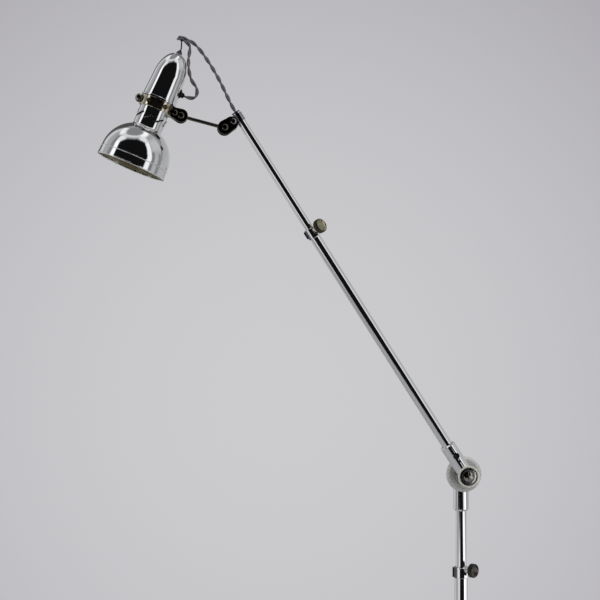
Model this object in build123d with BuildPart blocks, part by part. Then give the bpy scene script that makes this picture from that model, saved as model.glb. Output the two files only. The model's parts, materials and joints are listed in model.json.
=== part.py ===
from build123d import *
from math import atan2, cos, degrees, pi, radians, sin, tan
import os

os.makedirs("parts", exist_ok=True)

# Adjustable arm floor lamp, in millimetres. The origin is the middle of the base's underside, +Z is up,
# and the arm leans towards -X in a plane just in front of the pole.

# Stand
base_radius = 150.0
felt_radius = 145.0
felt_thickness = 2.0
cover_rim_height = 18.0
cover_crown_height = 38.0
cover_wall = 1.2
weight_radius = 146.0
nut_recess_radius = 22.0
nut_recess_top = 11.0
spigot_radius = 11.0
socket_top = 95.0
socket_radius = 17.0
socket_floor = 54.0
gland_height = 8.5

# Pole tubes and collar
pole_outer_radius = 12.5
pole_outer_bore = 11.0
pole_inner_radius = 10.0
pole_inner_bore = 8.5
pole_outer_top = 826.0
pole_inner_bottom = 320.0
pole_inner_top = 985.0
pole_bush_length = 30.8
collar_bottom = 820.0
collar_top = 840.0
collar_radius = 14.4
pole_clamp_height = 836.5

# Elbow
elbow_height = 1020.0
arm_plane_y = -45.5
stem_radius = 14.4
stem_bottom = 948.0
disc_radius = 33.4
disc_rounding = 7.0
disc_front_y = -31.0
hub_back_y = -32.15
hub_front_y = -60.5
hub_radius = 20.2
bolt_radius = 4.0

# Arm, measured along its axis from the elbow
arm_angle = 57.2
socket_bar_radius = 14.5
socket_bar_end = 70.0
socket_screw_s = 46.0
arm_outer_radius = 10.0
arm_outer_bore = 8.5
arm_inner_radius = 8.0
arm_inner_bore = 6.75
arm_outer_end = 540.0
arm_inner_start = 250.0
arm_mouth = 802.0
arm_bush_length = 25.8
arm_collar_start = 531.0
arm_collar_end = 550.5
arm_collar_radius = 11.8
arm_clamp_s = 544.5
lug_s = 790.0
lug_radius = 12.7
lug_centre = 18.5
lug_near_side = 8.2

# Thumbscrews
thumbscrew_swing = 50.0
block_swing = 15.0
thumbscrew_radius = 13.3
thumbscrew_thickness = 9.0
thumbscrew_shank = 2.5
thumbscrew_rounding = 2.6
thumbscrew_dish_depth = 2.2

# Link and head
joint_half_depth = 11.5
slot_half_width = 6.5
eye_radius = 7.0
eye_half_depth = 6.2
pivot_radius = 3.0
pivot_offset = 32.5
link_length = 82.6
link_angle = 14.2
link_radius = 3.25
head_tilt = 23.0
head_pivot_k = 47.8
band_low = 113.0
band_high = 132.0
band_bore = 26.95
band_radius = 31.2
ear_k = 35.0
ear_half_depth = 8.0
edge_rounding = 1.0
bell_radius = 65.0
dome_radius = 62.8
dome_centre_r = 0.6
dome_centre_s = 19.5
neck_radius = 27.3
neck_bore = 25.5
neck_fillet = 4.0
shade_wall = 1.2
louvre_count = 8
louvre_length = 20.0
louvre_width = 3.6
lip_width = 1.8
louvre_slant = 32.0
louvre_s = 95.5
bullet_base_radius = 32.2
bullet_shoulder_radius = 29.5
bullet_shoulder_s = 178.0
bullet_height = 226.5
bullet_flat_s = 225.1
grommet_s = 158.5
grommet_radius = 9.4
grommet_neck = 4.7
bulb_radius = 30.0
bulb_centre_s = 52.0

# Flex
flex_radius = 3.5

# Clearances
slip = 0.05
running = 0.06

# Directions and frames worked out from the sizes above.
# Along the arm: local x is across the arm in its plane, local y is +Y, local z runs up the arm.
arm_dir = Vector(-cos(radians(arm_angle)), 0, sin(radians(arm_angle)))
arm_across = Vector(sin(radians(arm_angle)), 0, cos(radians(arm_angle)))
front = Vector(0, -1, 0)
elbow = Vector(0, arm_plane_y, elbow_height)
arm_plane = Plane(origin=elbow, x_dir=arm_across, z_dir=arm_dir)

lug_pivot = elbow + arm_dir * lug_s - arm_across * pivot_offset
link_dir = Vector(-cos(radians(link_angle)), 0, sin(radians(link_angle)))
head_pivot = lug_pivot + link_dir * link_length

# On the head: local x points to the link, local z runs from the rim up to the crown.
head_up = Vector(sin(radians(head_tilt)), 0, cos(radians(head_tilt)))
head_side = Vector(cos(radians(head_tilt)), 0, -sin(radians(head_tilt)))
band_mid = (band_low + band_high) / 2
rim_centre = head_pivot - head_side * head_pivot_k - head_up * band_mid
head_plane = Plane(origin=rim_centre, x_dir=head_side, z_dir=head_up)
head_profile = Plane(origin=rim_centre, x_dir=head_side, z_dir=front)
head_axis = Axis(rim_centre, head_up)

swing = radians(thumbscrew_swing)
pole_clamp_dir = Vector(cos(swing), -sin(swing), 0)
pole_clamp_origin = Vector(0, 0, pole_clamp_height)
arm_clamp_dir = arm_across * cos(swing) + front * sin(swing)
arm_clamp_origin = elbow + arm_dir * arm_clamp_s
behind = radians(block_swing)
pole_block_dir = Vector(-cos(behind), sin(behind), 0)
arm_block_dir = arm_across * -cos(behind) - front * sin(behind)


def finish(builder, name):
    """Label one finished sub-part and write its file."""
    builder.part.label = name
    export_step(builder.part, f"parts/{name}.step")


def facing_front(point, y):
    """Plane square to Y whose normal points to the front, through a point moved to depth y."""
    return Plane(origin=(point.X, y, point.Z), x_dir=(1, 0, 0), z_dir=front)


def facing_back(point, y):
    """Plane square to Y whose normal points to the back, through a point moved to depth y."""
    return Plane(origin=(point.X, y, point.Z), x_dir=(-1, 0, 0), z_dir=-front)


def tube(plane, outer, bore, start, end):
    """Plain tube along a plane's normal."""
    with BuildPart() as built:
        with BuildSketch(plane.offset(start)):
            Circle(outer)
            Circle(bore, mode=Mode.SUBTRACT)
        extrude(amount=end - start)
    return built


def stepped_tube(plane, outer, bore, start, end, step_radius, step_length):
    """Tube whose first stretch is turned down to carry a guide bush."""
    with BuildPart() as built:
        with BuildSketch(plane.offset(start)):
            Circle(step_radius)
            Circle(bore, mode=Mode.SUBTRACT)
        extrude(amount=step_length)
        with BuildSketch(plane.offset(start + step_length)):
            Circle(outer)
            Circle(bore, mode=Mode.SUBTRACT)
        extrude(amount=end - start - step_length)
    return built


def end_plug(plane, start, flange_radius, flange_length, spigot, spigot_length, bore):
    """Flanged plug that closes an inner tube's lower end round the flex."""
    with BuildPart() as built:
        with BuildSketch(plane.offset(start - flange_length)):
            Circle(flange_radius)
        extrude(amount=flange_length - slip)
        with BuildSketch(plane.offset(start - slip)):
            Circle(spigot)
        extrude(amount=spigot_length)
        with BuildSketch(plane.offset(start - flange_length)):
            Circle(bore)
        extrude(amount=flange_length + spigot_length, mode=Mode.SUBTRACT)
    return built


def cylinder_between(plane, radius, start, end):
    """Solid cylinder along a plane's normal."""
    with BuildPart() as built:
        with BuildSketch(plane.offset(start)):
            Circle(radius)
        extrude(amount=end - start)
    return built


def hex_nut(plane, across_flats, bore, thickness):
    """Hexagon nut along a plane's normal, with its outer edges eased."""
    with BuildPart() as built:
        with BuildSketch(plane):
            RegularPolygon(radius=across_flats / 2, side_count=6, major_radius=False)
            Circle(bore, mode=Mode.SUBTRACT)
        extrude(amount=thickness)
        top_face = built.faces().sort_by(Axis(plane.origin, plane.z_dir))[-1]
        chamfer(top_face.outer_wire().edges(), 0.5)
    return built


def slotted_screw(plane, head_radius, head_height, shank, shank_length, slot_width):
    """Screw with a domed slotted head: the plane is the head's seat, its normal points out of the head."""
    with BuildPart() as built:
        with BuildSketch(plane):
            Circle(head_radius)
        extrude(amount=head_height)
        dome_rise = head_height * 0.6
        dome = (head_radius**2 + dome_rise**2) / (2 * dome_rise)
        with Locations(plane.offset(head_height - dome)):
            Sphere(dome, mode=Mode.INTERSECT)
        with BuildSketch(plane.offset(head_height)):
            Rectangle(slot_width, 2 * head_radius + 1)
        extrude(amount=-head_height * 0.45, mode=Mode.SUBTRACT)
        with BuildSketch(plane):
            Circle(shank)
        extrude(amount=-shank_length)
    return built


def outline_edges(builder):
    """Edges round a plate's front and back faces."""
    faces = builder.faces().sort_by(Axis.Y)
    return faces[0].edges() + faces[-1].edges()


def thumbscrew(origin, direction, tip, head_start):
    """Thumbscrew along a direction: plain shank, fluted head with a rounded rim, dished face."""
    plane = Plane(origin=origin, z_dir=direction)
    profile = Plane(origin=origin, x_dir=plane.x_dir, z_dir=plane.x_dir.cross(direction))
    top = head_start + thumbscrew_thickness
    rim = thumbscrew_radius - thumbscrew_rounding
    low = top - thumbscrew_rounding
    dish = (rim**2 + thumbscrew_dish_depth**2) / (2 * thumbscrew_dish_depth)
    with BuildPart() as built:
        with BuildSketch(plane.offset(tip)):
            Circle(thumbscrew_shank)
        extrude(amount=head_start - tip)
        with BuildSketch(plane.offset(head_start)):
            Circle(thumbscrew_radius)
            with PolarLocations(thumbscrew_radius + 0.55, 32):
                Circle(0.95, mode=Mode.SUBTRACT)
        extrude(amount=thumbscrew_thickness)
        with BuildSketch(profile):
            with BuildLine():
                CenterArc((rim, low), thumbscrew_rounding, 0, 90)
                Polyline(
                    (rim, top), (rim, top + 1), (thumbscrew_radius + 2, top + 1), (thumbscrew_radius + 2, low),
                    (thumbscrew_radius, low),
                )
            make_face()
        revolve(axis=Axis(origin, direction), mode=Mode.SUBTRACT)
        with Locations(plane.offset(top - thumbscrew_dish_depth + dish)):
            Sphere(dish, mode=Mode.SUBTRACT)
    return built


# Base
with BuildPart() as base_felt:
    with BuildSketch():
        Circle(felt_radius)
    extrude(amount=felt_thickness)
finish(base_felt, "base_felt")

with BuildPart() as base_weight:
    with BuildSketch(Plane.XZ):
        with BuildLine():
            Polyline(
                (nut_recess_radius, felt_thickness),
                (weight_radius, felt_thickness),
                (weight_radius, 12.5),
                (42.0, 35.6),
                (40.0, cover_crown_height - cover_wall - slip),
                (spigot_radius + 0.2, cover_crown_height - cover_wall - slip),
                (spigot_radius + 0.2, nut_recess_top),
                (nut_recess_radius, nut_recess_top),
                close=True,
            )
        make_face()
    revolve(axis=Axis.Z)
    # Channel from the rear gland to the middle, for the flex.
    with BuildSketch(Plane.XY.offset(felt_thickness)):
        with Locations((weight_radius / 2 + 8, 0)):
            Rectangle(weight_radius, 15)
    extrude(amount=13.5, mode=Mode.SUBTRACT)
finish(base_weight, "base_weight")

with BuildPart() as base_cover:
    with BuildSketch(Plane.XZ):
        with BuildLine():
            outer = FilletPolyline(
                (base_radius, felt_thickness + 0.5),
                (base_radius, cover_rim_height),
                (48, cover_crown_height),
                (socket_radius, cover_crown_height),
                radius=[9.0, 30.0],
            )
            inner = FilletPolyline(
                (base_radius - cover_wall, felt_thickness + 0.5),
                (base_radius - cover_wall, cover_rim_height - cover_wall),
                (48, cover_crown_height - cover_wall),
                (socket_radius, cover_crown_height - cover_wall),
                radius=[9.0 - cover_wall, 30.0 + cover_wall],
            )
            Line(outer @ 0, inner @ 0)
            Line(outer @ 1, inner @ 1)
        make_face()
    revolve(axis=Axis.Z)
    gland_plane = Plane(origin=(base_radius - 8, 0, gland_height), z_dir=(1, 0, 0))
    with BuildSketch(gland_plane):
        Circle(4.5 + slip)
    extrude(amount=12, mode=Mode.SUBTRACT)
finish(base_cover, "base_cover")

with BuildPart() as cord_gland:
    with BuildSketch(gland_plane):
        Circle(4.5)
    extrude(amount=8.1)
    with BuildSketch(gland_plane.offset(8.05)):
        Circle(5.4)
    extrude(amount=3.0, taper=8)
    with BuildSketch(gland_plane):
        Circle(3.6)
    extrude(amount=12, mode=Mode.SUBTRACT)
finish(cord_gland, "cord_gland")

with BuildPart() as pole_socket:
    with BuildSketch(Plane.XZ):
        with BuildLine():
            Polyline((6, 4), (spigot_radius, 4), (spigot_radius, 38.05), (36, 38.05), (36, 40.5))
            ThreePointArc((36, 40.5), (22.0, 45.5), (socket_radius, 60))
            Polyline(
                (socket_radius, 60),
                (socket_radius, socket_top - 2),
                (socket_radius - 2, socket_top),
                (pole_outer_radius + slip, socket_top),
                (pole_outer_radius + slip, socket_floor),
                (6, socket_floor),
                (6, 4),
            )
        make_face()
    revolve(axis=Axis.Z)
    for turn in range(3):
        screw_dir = Vector(cos(radians(90 + 120 * turn)), sin(radians(90 + 120 * turn)), 0)
        with BuildSketch(Plane(origin=(0, 0, 78), z_dir=screw_dir).offset(pole_outer_radius)):
            Circle(2.5 + slip)
        extrude(amount=8, mode=Mode.SUBTRACT)
finish(pole_socket, "pole_socket")

with BuildPart() as socket_grub_screws:
    for turn in range(3):
        screw_dir = Vector(cos(radians(90 + 120 * turn)), sin(radians(90 + 120 * turn)), 0)
        screw_plane = Plane(origin=(0, 0, 78), z_dir=screw_dir).offset(pole_outer_radius + 2 * slip)
        with BuildSketch(screw_plane):
            Circle(2.5)
        extrude(amount=4.0)
        with BuildSketch(screw_plane.offset(4.0)):
            Rectangle(0.9, 6)
        extrude(amount=-1.0, mode=Mode.SUBTRACT)
finish(socket_grub_screws, "socket_grub_screws")

base_nut = hex_nut(Plane.XY.offset(nut_recess_top - slip).rotated((180, 0, 0)), 34, spigot_radius + slip, 7.5)
finish(base_nut, "base_nut")

# Pole
outer_pole_tube = tube(Plane.XY, pole_outer_radius, pole_outer_bore, socket_floor + slip, pole_outer_top)
finish(outer_pole_tube, "outer_pole_tube")


def clamp_collar(plane, sizes, clamp_at, clamp_dir, block_dir, block_at):
    """Collar on an outer tube's end: round body, screw boss, rear block, pad pocket and tube bores."""
    radius, start, end, tube_end, outer_tube, inner_tube, boss, boss_reach, pocket, pocket_reach = sizes
    block_low, block_high, block_reach, grub_at = block_at
    middle = plane.origin + plane.z_dir * (block_low + block_high) / 2
    with BuildPart() as built:
        with BuildSketch(plane.offset(start)):
            Circle(radius)
        extrude(amount=end - start)
        chamfer(built.edges(), 0.8)
        with BuildSketch(Plane(origin=clamp_at, z_dir=clamp_dir)):
            Circle(boss)
        extrude(amount=boss_reach)
        with BuildSketch(Plane(origin=middle, x_dir=plane.z_dir, z_dir=block_dir)):
            RectangleRounded(block_high - block_low, 10, 1.5)
        extrude(amount=block_reach)
        with BuildSketch(plane.offset(start - 1)):
            Circle(outer_tube + slip)
        extrude(amount=tube_end + slip - start + 1, mode=Mode.SUBTRACT)
        with BuildSketch(plane.offset(start)):
            Circle(inner_tube + running)
        extrude(amount=end - start + boss, mode=Mode.SUBTRACT)
        with BuildSketch(Plane(origin=clamp_at, z_dir=clamp_dir)):
            Circle(pocket)
        extrude(amount=pocket_reach, mode=Mode.SUBTRACT)
        with BuildSketch(Plane(origin=clamp_at, z_dir=clamp_dir)):
            Circle(thumbscrew_shank + running)
        extrude(amount=boss_reach + 2, mode=Mode.SUBTRACT)
        with BuildSketch(Plane(origin=plane.origin + plane.z_dir * grub_at, z_dir=block_dir)):
            Circle(1.5 + slip)
        extrude(amount=block_reach + 1, mode=Mode.SUBTRACT)
    return built


def grub_screw(origin, direction, radius, tip, length):
    """Slotted headless screw along a direction."""
    plane = Plane(origin=origin, z_dir=direction)
    with BuildPart() as built:
        with BuildSketch(plane.offset(tip)):
            Circle(radius)
        extrude(amount=length)
        with BuildSketch(plane.offset(tip + length)):
            Rectangle(radius * 0.4, radius * 3)
        extrude(amount=-radius * 0.5, mode=Mode.SUBTRACT)
    return built


pole_collar = clamp_collar(
    Plane.XY,
    (collar_radius, collar_bottom, collar_top, pole_outer_top, pole_outer_radius, pole_inner_radius,
     6.9, 23.5, 3.6, 14.6),
    pole_clamp_origin, pole_clamp_dir, pole_block_dir, (821.0, 839.5, 16.2, 823.3),
)
finish(pole_collar, "pole_collar")

pole_collar_grub_screw = grub_screw(
    Vector(0, 0, 823.3), pole_block_dir, 1.5, pole_outer_radius + 2 * slip, 3.4)
finish(pole_collar_grub_screw, "pole_collar_grub_screw")

pole_pressure_pad = cylinder_between(
    Plane(origin=pole_clamp_origin, z_dir=pole_clamp_dir), 3.5, pole_inner_radius + slip, 12.6)
finish(pole_pressure_pad, "pole_pressure_pad")

pole_thumbscrew = thumbscrew(pole_clamp_origin, pole_clamp_dir, 12.65, 24.0)
finish(pole_thumbscrew, "pole_thumbscrew")

pole_guide_bush = tube(
    Plane.XY, pole_outer_bore - running, 9.3 + running, pole_inner_bottom + slip,
    pole_inner_bottom + pole_bush_length)
finish(pole_guide_bush, "pole_guide_bush")

inner_pole_tube = stepped_tube(
    Plane.XY, pole_inner_radius, pole_inner_bore, pole_inner_bottom, pole_inner_top, 9.3,
    pole_bush_length + 0.2)
finish(inner_pole_tube, "inner_pole_tube")

pole_end_plug = end_plug(Plane.XY, pole_inner_bottom, 10.6, 6.0, pole_inner_bore - slip, 12.0, 4.0)
finish(pole_end_plug, "pole_end_plug")

# Elbow
with BuildPart() as elbow_post:
    with BuildSketch(Plane.XZ):
        with BuildLine():
            Polyline(
                (0, stem_bottom), (11.6, stem_bottom), (stem_radius, stem_bottom + 3.5),
                (stem_radius, elbow_height), (0, elbow_height), close=True,
            )
        make_face()
    revolve(axis=Axis.Z)
    with BuildSketch(facing_front(elbow, 12.0)):
        Circle(stem_radius)
    extrude(amount=25.0)
    with BuildSketch(facing_front(elbow, -12.0)):
        Circle(disc_radius)
    extrude(amount=-12.0 - disc_front_y)
    rims = [e for e in elbow_post.edges().filter_by(GeomType.CIRCLE) if abs(e.radius - disc_radius) < 0.01]
    fillet(rims, disc_rounding)
    with BuildSketch(Plane.XY.offset(stem_bottom)):
        Circle(pole_inner_radius + slip)
    extrude(amount=pole_inner_top + slip - stem_bottom, mode=Mode.SUBTRACT)
    with BuildSketch(Plane.XY.offset(pole_inner_top - 1)):
        Circle(5)
    extrude(amount=24, mode=Mode.SUBTRACT)
    with BuildSketch(facing_back(elbow, 12.0)):
        Circle(9.2)
    extrude(amount=5, mode=Mode.SUBTRACT)
    with BuildSketch(facing_front(elbow, 13.0)):
        Circle(bolt_radius + slip)
    extrude(amount=50, mode=Mode.SUBTRACT)
    with BuildSketch(facing_back(Vector(0, 0, 965), 9.0)):
        Circle(2.5 + slip)
    extrude(amount=6, mode=Mode.SUBTRACT)
finish(elbow_post, "elbow_post")

post_grub_screw = grub_screw(Vector(0, 0, 965), Vector(0, 1, 0), 2.5, pole_inner_radius + 2 * slip, 3.6)
finish(post_grub_screw, "post_grub_screw")

friction_washer = tube(facing_front(elbow, disc_front_y - slip), hub_radius - 1.7, 5.0, 0, 1.0)
finish(friction_washer, "friction_washer")

elbow_cup_washer = tube(facing_front(elbow, -55.05), 13.0, bolt_radius + slip, 0, 1.5)
finish(elbow_cup_washer, "elbow_cup_washer")

elbow_bolt = slotted_screw(facing_front(elbow, -56.6), 9.0, 4.0, bolt_radius, 78.6, 2.2)
finish(elbow_bolt, "elbow_bolt")

elbow_spring_washer = tube(facing_back(elbow, 12.05), 7.3, bolt_radius + 0.1, 0, 1.95)
finish(elbow_spring_washer, "elbow_spring_washer")

elbow_nut = hex_nut(facing_back(elbow, 14.05), 13, bolt_radius + slip, 6.5)
finish(elbow_nut, "elbow_nut")

# Arm
socket_screw_at = elbow + arm_dir * socket_screw_s + arm_across * 1.0
with BuildPart() as arm_socket:
    with BuildSketch(facing_front(elbow, hub_back_y)):
        Circle(hub_radius)
    extrude(amount=hub_back_y - hub_front_y)
    fillet(arm_socket.edges().filter_by(GeomType.CIRCLE).sort_by(Axis.Y)[0], 1.2)
    with BuildSketch(arm_plane):
        Circle(socket_bar_radius)
    extrude(amount=socket_bar_end)
    bar_end = arm_socket.faces().sort_by(Axis(elbow, arm_dir))[-1]
    chamfer(bar_end.edges(), 2)
    with BuildSketch(facing_back(elbow, hub_back_y)):
        Circle(90)
    extrude(amount=10, mode=Mode.SUBTRACT)
    with BuildSketch(facing_front(socket_screw_at, arm_plane_y)):
        Circle(6)
    extrude(amount=16.4)
    with BuildSketch(facing_front(elbow, -55.0)):
        Circle(hub_radius - 3.2)
    extrude(amount=10, mode=Mode.SUBTRACT)
    with BuildSketch(facing_front(elbow, hub_back_y + 1)):
        Circle(bolt_radius + running)
    extrude(amount=30, mode=Mode.SUBTRACT)
    with BuildSketch(arm_plane.offset(30)):
        Circle(arm_outer_radius + slip)
    extrude(amount=50, mode=Mode.SUBTRACT)
    with BuildSketch(facing_front(socket_screw_at, arm_plane_y)):
        Circle(3 + slip)
    extrude(amount=20, mode=Mode.SUBTRACT)
    with BuildSketch(facing_front(elbow + arm_dir * 34, arm_plane_y - socket_bar_radius)):
        Circle(2.6)
    extrude(amount=-0.8, mode=Mode.SUBTRACT)
finish(arm_socket, "arm_socket")

arm_socket_screw = grub_screw(socket_screw_at, front, 3.0, arm_outer_radius + 0.15, 5.7)
finish(arm_socket_screw, "arm_socket_screw")

outer_arm_tube = tube(arm_plane, arm_outer_radius, arm_outer_bore, 31.0, arm_outer_end)
finish(outer_arm_tube, "outer_arm_tube")

arm_collar = clamp_collar(
    arm_plane,
    (arm_collar_radius, arm_collar_start, arm_collar_end, arm_outer_end, arm_outer_radius, arm_inner_radius,
     5.9, 20.5, 3.1, 12.2),
    arm_clamp_origin, arm_clamp_dir, arm_block_dir, (535.0, 549.0, 13.5, 537.6),
)
finish(arm_collar, "arm_collar")

arm_collar_grub_screw = grub_screw(
    elbow + arm_dir * 537.6, arm_block_dir, 1.5, arm_outer_radius + 2 * slip, 3.2)
finish(arm_collar_grub_screw, "arm_collar_grub_screw")

arm_pressure_pad = cylinder_between(
    Plane(origin=arm_clamp_origin, z_dir=arm_clamp_dir), 3.0, arm_inner_radius + slip, 10.2)
finish(arm_pressure_pad, "arm_pressure_pad")

arm_thumbscrew = thumbscrew(arm_clamp_origin, arm_clamp_dir, 10.25, 21.5)
finish(arm_thumbscrew, "arm_thumbscrew")

arm_guide_bush = tube(
    arm_plane, arm_outer_bore - running, 7.5 + running, arm_inner_start + slip,
    arm_inner_start + arm_bush_length)
finish(arm_guide_bush, "arm_guide_bush")

inner_arm_tube = stepped_tube(
    arm_plane, arm_inner_radius, arm_inner_bore, arm_inner_start, arm_mouth, 7.5, arm_bush_length + 0.2)
finish(inner_arm_tube, "inner_arm_tube")

arm_end_plug = end_plug(arm_plane, arm_inner_start, 8.2, 6.0, arm_inner_bore - slip, 12.0, 3.9)
finish(arm_end_plug, "arm_end_plug")

# Arm end. The lug's frame has local x across the arm and local z along -arm_across.
lug_plane = Plane(origin=elbow + arm_dir * lug_s, x_dir=arm_dir, z_dir=-arm_across)
lug_screw_at = elbow + arm_dir * 791.0 - arm_across * 13.4
joint_front_y = arm_plane_y - joint_half_depth
joint_back_y = arm_plane_y + joint_half_depth
with BuildPart() as arm_end_fitting:
    with BuildSketch(Plane(origin=(elbow.X, joint_front_y, elbow.Z), x_dir=arm_across, z_dir=front)):
        with Locations((-lug_centre, lug_s)):
            Circle(lug_radius)
    extrude(amount=-2 * joint_half_depth)
    fillet(outline_edges(arm_end_fitting), edge_rounding)
    with BuildSketch(lug_plane.offset(21.8)):
        Rectangle(60, 60)
    extrude(amount=30, mode=Mode.SUBTRACT)
    with BuildSketch(lug_plane.offset(lug_near_side)):
        Rectangle(60, 60)
    extrude(amount=-30, mode=Mode.SUBTRACT)
    with BuildSketch(arm_plane.offset(784)):
        Circle(9.2)
    extrude(amount=16)
    with BuildSketch(arm_plane.offset(770)):
        Circle(arm_inner_radius + slip)
    extrude(amount=40, mode=Mode.SUBTRACT)
    with BuildSketch(lug_plane.offset(10.5)):
        Circle(4.5 + slip)
    extrude(amount=12, mode=Mode.SUBTRACT)
    with BuildSketch(facing_front(lug_screw_at, arm_plane_y)):
        Circle(2.5 + slip)
    extrude(amount=20, mode=Mode.SUBTRACT)
finish(arm_end_fitting, "arm_end_fitting")

lug_screw = slotted_screw(facing_front(lug_screw_at, joint_front_y - slip), 5.3, 2.4, 2.5, 6.8, 1.2)
finish(lug_screw, "lug_screw")

with BuildPart() as mouth_bush:
    with BuildSketch(arm_plane.offset(792)):
        Circle(arm_inner_bore - slip)
    extrude(amount=10.2)
    with BuildSketch(arm_plane.offset(arm_mouth + slip)):
        Circle(7.9)
    extrude(amount=2.0)
    with BuildSketch(arm_plane.offset(791)):
        Circle(flex_radius + 0.3)
    extrude(amount=20, mode=Mode.SUBTRACT)
finish(mouth_bush, "mouth_bush")

with BuildPart() as arm_fork:
    with BuildSketch(Plane(origin=(elbow.X, joint_front_y, elbow.Z), x_dir=arm_across, z_dir=front)):
        with Locations((-23.2, lug_s)):
            Rectangle(2.6, 25.2)
        with Locations((-pivot_offset, lug_s)):
            Circle(13.4)
        make_hull()
    extrude(amount=-2 * joint_half_depth)
    fillet(outline_edges(arm_fork), edge_rounding)
    with BuildSketch(lug_plane):
        Rectangle(60, 60)
    extrude(amount=21.9, mode=Mode.SUBTRACT)
    with BuildSketch(lug_plane.offset(25)):
        Rectangle(60, 2 * slot_half_width)
    extrude(amount=40, mode=Mode.SUBTRACT)
    with BuildSketch(lug_plane.offset(11)):
        Circle(4.5)
    extrude(amount=12)
    with BuildSketch(facing_front(lug_pivot, arm_plane_y + 30)):
        Circle(pivot_radius + slip)
    extrude(amount=60, mode=Mode.SUBTRACT)
finish(arm_fork, "arm_fork")

arm_pivot_screw = slotted_screw(
    facing_front(lug_pivot, joint_front_y - slip), 5.8, 3.0, pivot_radius, 28.0, 1.3)
finish(arm_pivot_screw, "arm_pivot_screw")

arm_pivot_nut = hex_nut(facing_back(lug_pivot, joint_back_y + slip), 10, pivot_radius + slip, 4.4)
finish(arm_pivot_nut, "arm_pivot_nut")

# Link
with BuildPart() as link_rod:
    for pin in (lug_pivot, head_pivot):
        with BuildSketch(facing_front(pin, arm_plane_y + eye_half_depth)):
            Circle(eye_radius)
        extrude(amount=2 * eye_half_depth)
    with BuildSketch(Plane(origin=lug_pivot + link_dir * 5, z_dir=link_dir)):
        Circle(link_radius)
    extrude(amount=link_length - 10)
    for pin in (lug_pivot, head_pivot):
        with BuildSketch(facing_front(pin, arm_plane_y + 10)):
            Circle(pivot_radius + running)
        extrude(amount=20, mode=Mode.SUBTRACT)
finish(link_rod, "link_rod")

# Head
fork_plane = Plane(origin=rim_centre + head_up * band_mid, x_dir=head_up, z_dir=head_side)
fork_screw_at = rim_centre + head_up * band_mid + head_side * 35.4
with BuildPart() as head_fork:
    with BuildSketch(Plane(origin=(rim_centre.X, joint_front_y, rim_centre.Z), x_dir=head_side, z_dir=front)):
        with Locations((30.0, band_mid)):
            Rectangle(3.4, 17.2)
        with Locations((head_pivot_k, band_mid)):
            Circle(12.3)
        make_hull()
    extrude(amount=-2 * joint_half_depth)
    fillet(outline_edges(head_fork), edge_rounding)
    with BuildSketch(head_plane.offset(90)):
        Circle(band_radius + 0.1)
    extrude(amount=70, mode=Mode.SUBTRACT)
    with BuildSketch(fork_plane.offset(40)):
        Rectangle(60, 2 * slot_half_width)
    extrude(amount=40, mode=Mode.SUBTRACT)
    with BuildSketch(fork_plane.offset(25)):
        Circle(4.5 + slip)
    extrude(amount=14, mode=Mode.SUBTRACT)
    with BuildSketch(facing_front(head_pivot, arm_plane_y + 30)):
        Circle(pivot_radius + slip)
    extrude(amount=60, mode=Mode.SUBTRACT)
    with BuildSketch(facing_front(fork_screw_at, arm_plane_y)):
        Circle(2.5 + slip)
    extrude(amount=20, mode=Mode.SUBTRACT)
finish(head_fork, "head_fork")

head_fork_screw = slotted_screw(facing_front(fork_screw_at, joint_front_y - slip), 5.0, 2.4, 2.5, 6.8, 1.2)
finish(head_fork_screw, "head_fork_screw")

head_pivot_screw = slotted_screw(
    facing_front(head_pivot, joint_front_y - slip), 5.8, 3.0, pivot_radius, 28.0, 1.3)
finish(head_pivot_screw, "head_pivot_screw")

head_pivot_nut = hex_nut(facing_back(head_pivot, joint_back_y + slip), 10, pivot_radius + slip, 4.4)
finish(head_pivot_nut, "head_pivot_nut")


def around_head(angle):
    """Direction square to the head's axis, measured from the front towards the link."""
    return front * cos(radians(angle)) + head_side * sin(radians(angle))


band_screw_angles = (-149, -31, 31, 149)
ear_screw_at = rim_centre + head_up * band_mid - head_side * ear_k
with BuildPart() as clamp_band:
    with BuildSketch(head_plane.offset(band_low)):
        Circle(band_radius)
    extrude(amount=band_high - band_low)
    fillet(clamp_band.edges().filter_by(GeomType.CIRCLE), edge_rounding)
    with BuildSketch(fork_plane):
        Circle(4.5)
    extrude(amount=38.8)
    with BuildSketch(facing_front(ear_screw_at, arm_plane_y - ear_half_depth)):
        Circle(6.8)
    extrude(amount=-2 * ear_half_depth)
    ear_plane = Plane(origin=rim_centre + head_up * band_mid, x_dir=head_side, z_dir=head_up)
    with BuildSketch(ear_plane.offset(-6.8)):
        with Locations((-31.0, 0)):
            Rectangle(8, 2 * ear_half_depth)
    extrude(amount=13.6)
    with BuildSketch(head_plane.offset(band_low - 1)):
        Circle(band_bore)
    extrude(amount=band_high - band_low + 2, mode=Mode.SUBTRACT)
    with BuildSketch(ear_plane.offset(-12)):
        with Locations((-40, 0)):
            Rectangle(40, 3)
    extrude(amount=24, mode=Mode.SUBTRACT)
    with BuildSketch(facing_front(ear_screw_at, arm_plane_y + 20)):
        Circle(3 + slip)
    extrude(amount=40, mode=Mode.SUBTRACT)
    for ear_face in (
        facing_front(ear_screw_at, arm_plane_y - ear_half_depth),
        facing_back(ear_screw_at, arm_plane_y + ear_half_depth),
    ):
        with BuildSketch(ear_face):
            Circle(6.9)
        extrude(amount=12, mode=Mode.SUBTRACT)
    for angle in band_screw_angles:
        screw_plane = Plane(origin=rim_centre + head_up * band_mid, z_dir=around_head(angle))
        with BuildSketch(screw_plane.offset(20)):
            Circle(1.6 + slip)
        extrude(amount=20, mode=Mode.SUBTRACT)
        with BuildSketch(screw_plane.offset(30.7)):
            Circle(4.6)
        extrude(amount=10, mode=Mode.SUBTRACT)
finish(clamp_band, "clamp_band")

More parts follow.
